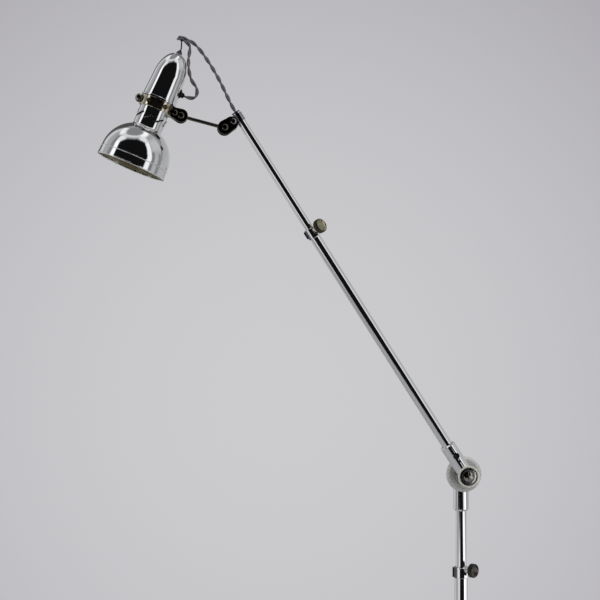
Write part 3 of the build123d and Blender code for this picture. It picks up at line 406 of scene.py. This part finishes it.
class LAMP_OT_flex(Operator):
    """Twisted two-core flex from the arm's mouth over the wire hook to the grommet"""

    bl_idname = "lamp.flex"
    bl_label = "Flex"

    def execute(self, context):
        settings = context.scene.lamp
        cloth = braided_cloth("Braided cotton flex", tuple(settings.finish.cloth))
        lower, lower_line, lower_length = twisted_cores("flex_lower_cores", LOWER_ROUTE, 0.0, settings.flex)
        upper, upper_line, upper_length = twisted_cores("flex_upper_cores", UPPER_ROUTE, lower_length, settings.flex)
        for piece in (lower, upper):
            piece.data.materials.append(cloth)
        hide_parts("flex_lower")
        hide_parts("flex_upper")
        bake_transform(lower)
        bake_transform(upper)
        return {"FINISHED"}


class LAMP_OT_lining(Operator):
    """Yellowed enamel coat inside the bell shade"""

    bl_idname = "lamp.lining"
    bl_label = "Shade lining"

    def execute(self, context):
        settings = context.scene.lamp
        sizes = settings.lining
        outer = shade_profile(sizes.gap)
        inner = shade_profile(sizes.gap + sizes.thickness)[::-1]
        outline = np.concatenate((outer, inner))
        turn = np.linspace(0.0, 2 * np.pi, sizes.sides + 1)[:-1]
        spoke = np.cos(turn)[:, None] * HEAD_FRONT + np.sin(turn)[:, None] * HEAD_SIDE
        points = (RIM_CENTRE + outline[None, :, :1] * spoke[:, None, :] + outline[None, :, 1:] * HEAD_UP).reshape(-1, 3)
        count = len(outline)
        row, col = np.meshgrid(np.arange(sizes.sides), np.arange(count), indexing="ij")
        onward = (row + 1) % sizes.sides
        step = (col + 1) % count
        quads = np.stack((row * count + col, onward * count + col, onward * count + step, row * count + step), -1)
        lining = mesh_object("shade_lining", points, [quads.reshape(-1, 4)])
        # Stoved enamel that has yellowed: smooth, a little uneven, with a soft gloss.
        enamel = tuple(settings.finish.enamel)
        lining.data.materials.append(finished(
            "Yellowed enamel", enamel, tuple(0.45 * c for c in enamel), (0.28, 0.42), 0.018, 0.0015, 0.00004,
            Coat_Weight=0.2))
        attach(lining, "head")
        return {"FINISHED"}


class LAMP_OT_finishes(Operator):
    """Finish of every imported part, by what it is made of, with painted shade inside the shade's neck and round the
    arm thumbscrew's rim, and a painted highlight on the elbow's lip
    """

    bl_idname = "lamp.finishes"
    bl_label = "Finishes"

    def execute(self, context):
        finish = context.scene.lamp.finish
        chrome, nickel = tuple(finish.chrome), tuple(finish.nickel)
        aged, brass = tuple(finish.aged), tuple(finish.brass)
        hazed = tuple(0.94 * c for c in chrome)
        made = {
            # Bright chrome plate: a clear mirror with faint polishing haze.
            "chrome": finished(
                "Polished chrome plate", chrome, hazed, (0.03, 0.06), 0.03, 0.004, 0.000002, Metallic=1.0),
            # Darkened nickel plate: a dark warm mirror, hazier where hands have been.
            "black_nickel": finished(
                "Darkened nickel plate", nickel, tuple(0.5 * c for c in nickel), (0.1, 0.2), 0.006, 0.0012, 0.000004,
                Metallic=1.0),
            # Tarnished nickel: olive grey, dull in patches, still bright enough to show the room.
            "aged_nickel": finished(
                "Tarnished nickel plate", aged, linear("#6A6753"), (0.12, 0.22), 0.006, 0.0008, 0.000004,
                Metallic=1.0),
            # Blackened steel screws: dark and satin.
            "dark_steel": finished(
                "Blackened steel", linear("#5A5A5C"), linear("#38383A"), (0.22, 0.4), 0.004, 0.0008, 0.00001,
                Metallic=1.0),
            # Zinc plate: pale, faintly blue and matt.
            "zinc_steel": finished(
                "Zinc plated steel", linear("#B4B7BA"), linear("#94989C"), (0.25, 0.4), 0.005, 0.0009, 0.00001,
                Metallic=1.0),
            # Old brass: yellow, browned in patches.
            "brass": finished(
                "Aged brass", brass, linear("#2E2719"), (0.22, 0.42), 0.004, 0.0007, 0.00001, Metallic=1.0),
            # Sand-cast iron: dark, matt and grainy.
            "cast_iron": finished(
                "Cast iron", linear("#3A3A3B"), linear("#262627"), (0.6, 0.8), 0.01, 0.0012, 0.0002),
            # Pressed felt: soft, matt and fibrous.
            "felt": finished(
                "Pressed felt", linear("#3B3C3F"), linear("#2A2B2D"), (0.85, 0.95), 0.006, 0.0007, 0.0004,
                Sheen_Weight=0.5),
            # Moulded rubber: near black with a dull bloom.
            "rubber": finished(
                "Moulded rubber", linear("#141415"), linear("#0D0D0E"), (0.55, 0.7), 0.006, 0.0006, 0.00004,
                Specular_IOR_Level=0.2),
            # Cotton under the braid: soft and matt.
            "cloth_flex": finished(
                "Cotton core", linear("#4D4C50"), linear("#333236"), (0.7, 0.8), 0.003, 0.0006, 0.0002,
                Sheen_Weight=0.3),
            # Natural nylon: creamy and waxy.
            "nylon": finished(
                "Natural nylon", linear("#DBD9D0"), linear("#CBC8BB"), (0.4, 0.55), 0.01, 0.001, 0.00002),
            # Vulcanised fibre: brown red and leathery.
            "fibre": finished(
                "Vulcanised fibre", linear("#5B2C22"), linear("#452019"), (0.5, 0.65), 0.004, 0.0006, 0.00006),
            # Moulded phenolic: dark brown with a worn gloss.
            "phenolic": finished(
                "Moulded phenolic", linear("#2E2320"), linear("#241B19"), (0.25, 0.4), 0.012, 0.001, 0.00003,
                Coat_Weight=0.3),
            # Opal glass: milky white with a soft gloss.
            "bulb_glass": finished(
                "Opal glass", linear("#F2F0E8"), linear("#E9E6DC"), (0.12, 0.2), 0.03, 0.002, 0.00001,
                Transmission_Weight=0.25, Subsurface_Weight=0.2),
        }
        plate = (chrome, hazed, (0.03, 0.06), 0.03, 0.004, 0.000002)
        worn = (linear("#5E5B62"), 0.32, 1.0)
        # Places with a finish of their own, or with painted shade or a painted highlight: an origin and an axis, then
        # the reach from it and the height along it.
        # The far bound stands for no limit.
        far = 1.0
        neck_painted_shade = (RIM_CENTRE, HEAD_UP, -far, 0.0267, 0.0755, far)
        friction_disc = (ELBOW, (0.0, 1.0, 0.0), -far, 0.0345, 0.0135, 0.0338)
        lip_painted_highlight = (ELBOW, (0.0, -1.0, 0.0), 0.0166, 0.0206, 0.0128, far)
        pole_clamp = (joint_at["pole_screw_turn"], POLE_BLOCK, -far, far, 0.0075, far)
        arm_clamp = (joint_at["arm_screw_turn"], ARM_BLOCK, -far, far, 0.0067, far)
        rim_painted_shade = (joint_at["arm_screw_turn"], joint_way["arm_screw_turn"], 0.0110, far, -far, far)
        own = {
            # The shade's neck is plated outside only. Its inside wall is dull and painted near black, a painted shade,
            # so through its louvres the eye sees a dark wall.
            "shade": finished(
                "Polished chrome plate, neck in painted shade", *plate, Metallic=1.0,
                zone=(*neck_painted_shade, (0.004, 0.004, 0.004), 0.8, 1.0)),
            # The elbow's friction disc has lost its polish: satin and grey on a bright post.
            "elbow_post": finished(
                "Polished chrome plate, satin disc", *plate, Metallic=1.0,
                zone=(*friction_disc, linear("#BEC0BC"), 0.4, 0.35)),
            # The lip of the hub round the elbow's cup is painted a bright warm white with a satin roughness: a painted
            # highlight for the bright ring round the cup.
            "arm_socket": finished(
                "Polished chrome plate, lip in painted highlight", *plate, Metallic=1.0,
                zone=(*lip_painted_highlight, linear("#E6E1D6"), 0.3, 0.5)),
            # The collars' clamping sides are dull and grey from handling, the rest is bright.
            "pole_collar": finished(
                "Polished chrome plate, dull pole clamp", *plate, Metallic=1.0,
                zone=(*pole_clamp, *worn)),
            "arm_collar": finished(
                "Polished chrome plate, dull arm clamp", *plate, Metallic=1.0,
                zone=(*arm_clamp, *worn)),
            # The arm's thumbscrew: olive tarnish in the dish, and the fluted rim painted dark, a painted shade.
            "arm_thumbscrew": finished(
                "Tarnished nickel plate, rim in painted shade", aged, linear("#7B7862"), (0.06, 0.12), 0.008, 0.0012, 0.000003,
                Metallic=1.0, zone=(*rim_painted_shade, linear("#3B382C"), 0.3, 1.0)),
            # The pole's thumbscrew is nearly black, with a soft sheen.
            "pole_thumbscrew": finished(
                "Blackened nickel plate", linear("#4B4742"), linear("#2A2826"), (0.14, 0.24), 0.008, 0.0012, 0.000004,
                Metallic=1.0),
            # The band is bright nickel gone yellow: a warm clear mirror with olive patches.
            "clamp_band": finished(
                "Yellowed nickel plate", linear("#D3CBBD"), linear("#776E54"), (0.07, 0.15), 0.012, 0.0012, 0.000003,
                Metallic=1.0),
        }
        # The arm's end and the elbow's cup are plated over rougher metal: a smoky mirror beside the bright tubes.
        smoked = finished(
            "Smoked chrome plate", linear("#8E8C92"), linear("#77757B"), (0.06, 0.12), 0.01, 0.002, 0.000003,
            Metallic=1.0)
        # Screw heads rubbed grey by a driver.
        rubbed = finished(
            "Rubbed nickel plate", linear("#A19D97"), linear("#77736C"), (0.12, 0.2), 0.004, 0.0008, 0.000003,
            Metallic=1.0)
        own.update(dict.fromkeys(("arm_end_fitting", "elbow_cup_washer"), smoked))
        own.update(dict.fromkeys(("lug_screw", "band_clamp_screw", "elbow_bolt"), rubbed))
        own.update(dict.fromkeys(("crown_boss", "wire_hook"), made["dark_steel"]))
        own.update(dict.fromkeys(
            ("arm_pivot_screw", "head_pivot_screw", "head_fork_screw"), made["black_nickel"]))
        for node, part in frame["nodes"].items():
            part.data.materials.clear()
            part.data.materials.append(own.get(node) or made[slot_of[node]])
        return {"FINISHED"}


class LAMP_OT_stage(Operator):
    """Pale floor and a studio with a dark camera side between soft white panels"""

    bl_idname = "lamp.stage"
    bl_label = "Stage"

    def execute(self, context):
        scene = context.scene
        stage = scene.lamp.stage
        scene.view_settings.view_transform = "Standard"
        sides, floor_height = 128, -0.0003
        turn = np.linspace(0.0, 2 * np.pi, sides + 1)[:-1]
        ring = np.column_stack((np.cos(turn), np.sin(turn), np.zeros(sides))) * stage.floor_radius
        ring[:, 2] = floor_height
        floor = mesh_object("studio_floor", ring, [np.arange(sides)[None, :]])
        floor.data.materials.append(finished(
            "Painted floor", tuple(stage.floor), tuple(0.97 * c for c in stage.floor), (0.5, 0.6), 0.4, 0.01, 0.0001))

        world = bpy.data.worlds.new("Studio")
        scene.world = world
        world.use_nodes = True
        tree = world.node_tree
        tree.nodes.clear()
        way = add(tree, "ShaderNodeSeparateXYZ", {0: add(tree, "ShaderNodeTexCoord").outputs["Generated"]})
        back = add(tree, "ShaderNodeMath", {0: way.outputs["Y"], 1: -1.0}, operation="MULTIPLY")
        around = add(tree, "ShaderNodeMath", {0: way.outputs["X"], 1: back.outputs["Value"]}, operation="ARCTAN2")
        above = add(tree, "ShaderNodeMath", {0: way.outputs["Z"]}, operation="ARCSINE")

        def window(left, right, low, high, side, end):
            """1 inside a window of the room given in degrees, 0 outside, fading over side and end."""
            edges = ((around, left, side), (around, right, -side), (above, low, end), (above, high, -end))
            masks = [add(tree, "ShaderNodeMapRange", {
                "Value": angle.outputs["Value"], "From Min": np.radians(edge - width / 2),
                "From Max": np.radians(edge + width / 2)}, interpolation_type="SMOOTHSTEP").outputs["Result"]
                for angle, edge, width in edges]
            level = masks[0]
            for mask in masks[1:]:
                level = add(tree, "ShaderNodeMath", {0: level, 1: mask}, operation="MULTIPLY").outputs["Value"]
            return level

        # The room in windows of azimuth and elevation, with the fade of their sides and ends and their brightness:
        # grey and white strips left and right, a dark strip behind, a dim ceiling between two bright panels, and the
        # dark camera side with a rounded top. A later row covers the rows before it.
        room = (
            (-98.0, -80.0, -12.0, 60.0, 7.0, 8.0, 0.33),
            (-80.0, -63.0, 0.0, 60.0, 5.0, 8.0, 1.6),
            (-142.0, -128.0, -20.0, 60.0, 10.0, 10.0, 0.9),
            (-190.0, -150.0, 8.0, 60.0, 10.0, 10.0, 0.1),
            (-200.0, -170.0, -16.0, 8.0, 10.0, 8.0, 0.1),
            (170.0, 200.0, -16.0, 8.0, 10.0, 8.0, 0.1),
            (-62.0, -33.0, -40.0, -9.0, 8.0, 3.0, 1.1),
            (58.0, 70.0, -60.0, 12.0, 6.0, 8.0, 0.30),
            (86.0, 98.0, -60.0, 8.0, 8.0, 8.0, 0.34),
            (146.0, 170.0, -14.0, -4.0, 12.0, 4.0, 0.08),
            (62.0, 100.0, 16.0, 46.0, 10.0, 12.0, 0.75),
            (42.0, 58.0, -50.0, 44.0, 5.0, 20.0, 1.4),
            (-200.0, 200.0, 70.0, 100.0, 8.0, 8.0, 0.35),
            (40.0, 122.0, 59.0, 70.0, 10.0, 8.0, 1.5),
            (-150.0, -88.0, 58.0, 72.0, 10.0, 8.0, 1.3),
            (-88.0, 40.0, 62.0, 70.0, 10.0, 6.0, 1.0),
            (-78.0, -44.0, 44.0, 62.0, 14.0, 10.0, 1.2),
            (24.0, 60.0, 44.0, 62.0, 14.0, 10.0, 1.2),
            (-63.0, 42.0, -9.6, 30.0, 6.0, 2.6, 0.008),
            (-63.0, 42.0, 10.0, 43.0, 6.0, 8.0, 0.008),
            (-58.0, 37.0, 30.0, 48.0, 9.0, 8.0, 0.008),
            (-50.0, 29.0, 38.0, 52.0, 14.0, 8.0, 0.008),
            (-40.0, 19.0, 42.0, 56.0, 20.0, 10.0, 0.008),
            (-33.0, 42.0, -95.0, 4.0, 6.0, 6.0, 0.008),
            (-42.0, 42.0, -95.0, -15.0, 6.0, 6.0, 0.008),
        )
        level = add(tree, "ShaderNodeMapRange", {
            "Value": above.outputs["Value"], "From Min": -1.2, "From Max": 1.2, "To Min": 0.75, "To Max": 0.5})
        level = level.outputs["Result"]
        for *edges, value in room:
            level = add(tree, "ShaderNodeMix", {"Factor": window(*edges), "A": level, "B": value}).outputs["Result"]
        studio = add(tree, "ShaderNodeBackground", {"Color": (1.0, 1.0, 1.0, 1.0), "Strength": level})
        # The paper behind the lamp: brightest low in the middle, darker and cooler to the corners.
        behind = add(tree, "ShaderNodeMath", {0: way.outputs["X"], 1: way.outputs["Y"]}, operation="ARCTAN2")
        fall = [add(tree, "ShaderNodeMath", {0: add(tree, "ShaderNodeMapRange", {
            "Value": angle.outputs["Value"], "From Min": np.radians(middle), "From Max": np.radians(middle + spread)},
            clamp=False).outputs["Result"], 1: 2.0}, operation="POWER").outputs["Value"]
            for angle, middle, spread in ((behind, 6.0, 22.6), (above, -4.0, 23.0))]
        corner = add(tree, "ShaderNodeMath", {0: fall[0], 1: fall[1]}, operation="ADD", use_clamp=True)
        paper = add(tree, "ShaderNodeMix", {
            "Factor": corner.outputs["Value"], 6: (*stage.backdrop, 1.0), 7: (*stage.corner, 1.0)}, data_type="RGBA")
        wall = add(tree, "ShaderNodeBackground", {"Color": paper.outputs[2], "Strength": 1.0})
        seen = add(tree, "ShaderNodeLightPath")
        mixed = add(tree, "ShaderNodeMixShader", {
            "Fac": seen.outputs["Is Camera Ray"], 1: studio.outputs["Background"], 2: wall.outputs["Background"]})
        add(tree, "ShaderNodeOutputWorld", {"Surface": mixed.outputs["Shader"]})

        # A low panel leaning beside the pole whitens its right side, and a top light that no metal shows
        # lights the floor and the cloth.
        for name, place, aim, roll, width, height, power, shows in (
                ("side_panel", (0.72, -0.52, 0.73), (0.0, 0.0, 1.35), 68.0, 0.35, 1.66, 1.8, True),
                ("top_light", (-0.6, -1.0, 3.2), (-0.3, 0.0, 0.9), 0.0, 1.6, 1.6, 40.0, False)):
            data = bpy.data.lights.new(name, "AREA")
            data.shape = "RECTANGLE"
            data.size, data.size_y, data.energy = width, height, power
            light = bpy.data.objects.new(name, data)
            facing = (Vector(aim) - Vector(place)).to_track_quat("-Z", "Y")
            light.location = place
            light.rotation_euler = (facing @ Quaternion((0.0, 0.0, 1.0), np.radians(roll))).to_euler()
            light.visible_camera = False
            light.visible_glossy = shows
            scene.collection.objects.link(light)
        return {"FINISHED"}


class LAMP_PT_panel(Panel):
    """Lists the lamp's operators and settings"""

    bl_idname = "LAMP_PT_panel"
    bl_label = "Floor Lamp"
    bl_space_type = "VIEW_3D"
    bl_region_type = "UI"
    bl_category = "Floor Lamp"

    def draw(self, context):
        settings = context.scene.lamp
        for operator in OPERATORS:
            self.layout.operator(operator.bl_idname)
        for group in (settings.flex, settings.lining, settings.finish, settings.stage):
            box = self.layout.box()
            for name in group.__annotations__:
                box.prop(group, name)


OPERATORS = (LAMP_OT_camera, LAMP_OT_flex, LAMP_OT_lining, LAMP_OT_finishes, LAMP_OT_stage)
CLASSES = (FlexSettings, LiningSettings, FinishSettings, StageSettings, LampSettings, *OPERATORS, LAMP_PT_panel)


def register():
    for cls in CLASSES:
        bpy.utils.register_class(cls)
    bpy.types.Scene.lamp = PointerProperty(type=LampSettings)


def unregister():
    del bpy.types.Scene.lamp
    for cls in reversed(CLASSES):
        bpy.utils.unregister_class(cls)


def main():
    register()
    bpy.ops.lamp.camera()
    bpy.ops.lamp.flex()
    bpy.ops.lamp.lining()
    bpy.ops.lamp.finishes()
    bpy.ops.lamp.stage()


if __name__ == "__main__":
    main()
